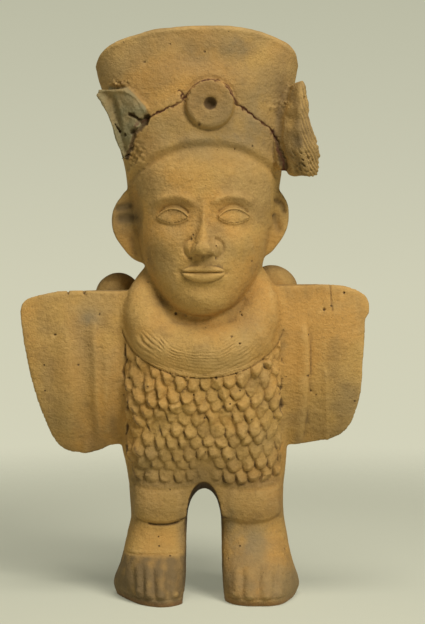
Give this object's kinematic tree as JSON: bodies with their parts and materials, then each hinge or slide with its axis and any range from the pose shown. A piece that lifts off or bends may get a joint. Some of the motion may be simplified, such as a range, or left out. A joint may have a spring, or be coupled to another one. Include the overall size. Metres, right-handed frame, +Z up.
{
  "type": "pottery figure",
  "caption": "Standing fired-clay figure with a tall flared hat, thick collar, scaled tunic, wing-like sleeves and short legs, resting on its two soles.",
  "frame": {"origin": "centre of the figure's box, on the ground under its soles", "axes": "+Z up the figure to the top of its hat, the face looks along -Y, +X is to the right of someone who looks at the face"},
  "size_m": [0.1452, 0.0638, 0.2365],
  "materials": {
    "clay": "matt, unglazed fired clay with grey fire smudges"
  },
  "bodies": {
    "root": {"figure": "clay"}
  },
  "joints": []
}
